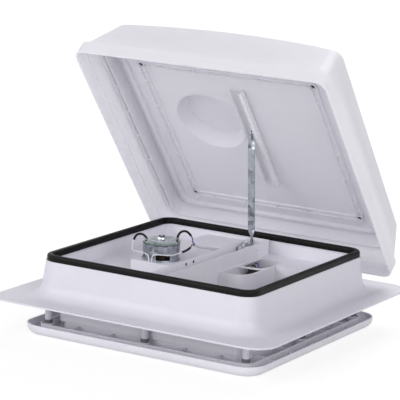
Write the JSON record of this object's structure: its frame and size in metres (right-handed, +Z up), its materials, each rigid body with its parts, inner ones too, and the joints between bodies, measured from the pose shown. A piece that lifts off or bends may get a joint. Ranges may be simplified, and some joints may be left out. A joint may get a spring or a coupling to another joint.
{
  "type": "caravan roof vent",
  "caption": "Roof vent for a caravan: square hinged lid on a wind-up lift arm, motor fan under it, sealed collar and roof plate, room-side trim with insect screen.",
  "frame": {"origin": "centre of the roof opening in the plane of the roof plate's underside", "axes": "+Z up and out of the roof, +Y towards the lid's hinges, +X to the right along the front edge; the lid is stored fully open"},
  "size_m": [0.5166, 0.5594, 0.4942],
  "materials": {
    "roof_plastic": "satin, moulded",
    "white_plastic": "satin, moulded",
    "seal_rubber": "matt foam rubber",
    "washer_rubber": "matt",
    "dark_screw": "blackened",
    "zinc_screw": "zinc plated",
    "galvanised_steel": "galvanised",
    "bright_steel": "bright plated",
    "gear_steel": "machined, greased",
    "armature_iron": "laminated, dark",
    "brass_tab": "tinned brass",
    "fan_plastic": "moulded",
    "black_sleeving": "soft sleeving",
    "white_insulation": "wire insulation",
    "blue_insulation": "wire insulation",
    "red_insulation": "wire insulation",
    "grey_insulation": "cable jacket",
    "clip_plastic": "moulded",
    "screen_mesh": "woven mesh",
    "lid_plastic": "translucent, satin",
    "liner_plastic": "translucent, satin",
    "roller_nylon": "nylon",
    "knob_plastic": "moulded",
    "black_plastic": "moulded"
  },
  "bodies": {
    "base": {"base_flange": "roof_plastic", "collar_gasket": "seal_rubber", "inner_tub": "white_plastic", "lift_channel": "white_plastic", "control_console": "white_plastic", "fan_shroud": "white_plastic", "motor_plate": "white_plastic", "plate_screws": "dark_screw", "motor_can": "galvanised_steel", "motor_cap": "bright_steel", "motor_terminals": "brass_tab", "black_sleeves": "black_sleeving", "white_leads": "white_insulation", "blue_lead": "blue_insulation", "red_lead": "red_insulation", "grey_cable": "grey_insulation", "cable_clip": "clip_plastic", "clamp_posts": "white_plastic", "clamp_washers": "washer_rubber", "clamp_screws": "zinc_screw", "interior_trim": "white_plastic", "screen_frame": "white_plastic", "insect_screen": "screen_mesh", "arm_pin": "bright_steel", "shaft_bush": "roller_nylon", "hinge_brackets": "roof_plastic", "hinge_pins": "bright_steel", "switch_body": "black_plastic", "switch_strap": "white_plastic", "connector_block": "black_plastic"},
    "lid": {"lid_dome": "lid_plastic", "lid_liner": "liner_plastic", "lid_screws": "dark_screw", "slide_track": "white_plastic", "track_rail": "galvanised_steel", "hinge_knuckles": "lid_plastic"},
    "arm": {"lift_arm": "galvanised_steel", "arm_gear": "gear_steel", "roller_pin": "bright_steel"},
    "roller": {"track_roller": "roller_nylon"},
    "crank": {"worm_shaft": "gear_steel", "crank_knob": "knob_plastic"},
    "rotor": {"motor_shaft": "bright_steel", "motor_armature": "armature_iron", "fan_impeller": "fan_plastic", "shaft_nut": "bright_steel"},
    "rocker": {"switch_rocker": "black_plastic"}
  },
  "joints": [
    {"name": "lid_hinge", "type": "hinge", "parent": "base", "child": "lid", "pos_m": [0, 0.24, 0.0136], "axis": [1, 0, 0], "range_deg": [0, 50.73]},
    {"name": "arm_pivot", "type": "hinge", "parent": "base", "child": "arm", "pos_m": [0.0114, 0.1357, 0.053], "axis": [1, 0, 0], "range_deg": [0, 79]},
    {"name": "roller_turn", "type": "hinge", "parent": "arm", "child": "roller", "pos_m": [0.0208, 0.1152, 0.25898], "axis": [1, 0, 0], "continuous": true},
    {"name": "crank_turn", "type": "hinge", "parent": "base", "child": "crank", "pos_m": [-0.001, 0.1197, 0], "axis": [0, 0, 1], "range_deg": [0, 1738]},
    {"name": "fan_spin", "type": "hinge", "parent": "base", "child": "rotor", "pos_m": [-0.068, -0.032, 0.04], "axis": [0, 0, 1], "continuous": true},
    {"name": "rocker_tilt", "type": "hinge", "parent": "base", "child": "rocker", "pos_m": [0.046, 0.05, -0.046], "axis": [1, 0, 0], "range_deg": [0, 16]}
  ],
  "couplings": [
    {"joint": "arm_pivot", "follows": "lid_hinge", "ratio": 1.5566},
    {"joint": "crank_turn", "follows": "lid_hinge", "ratio": 34.245}
  ]
}
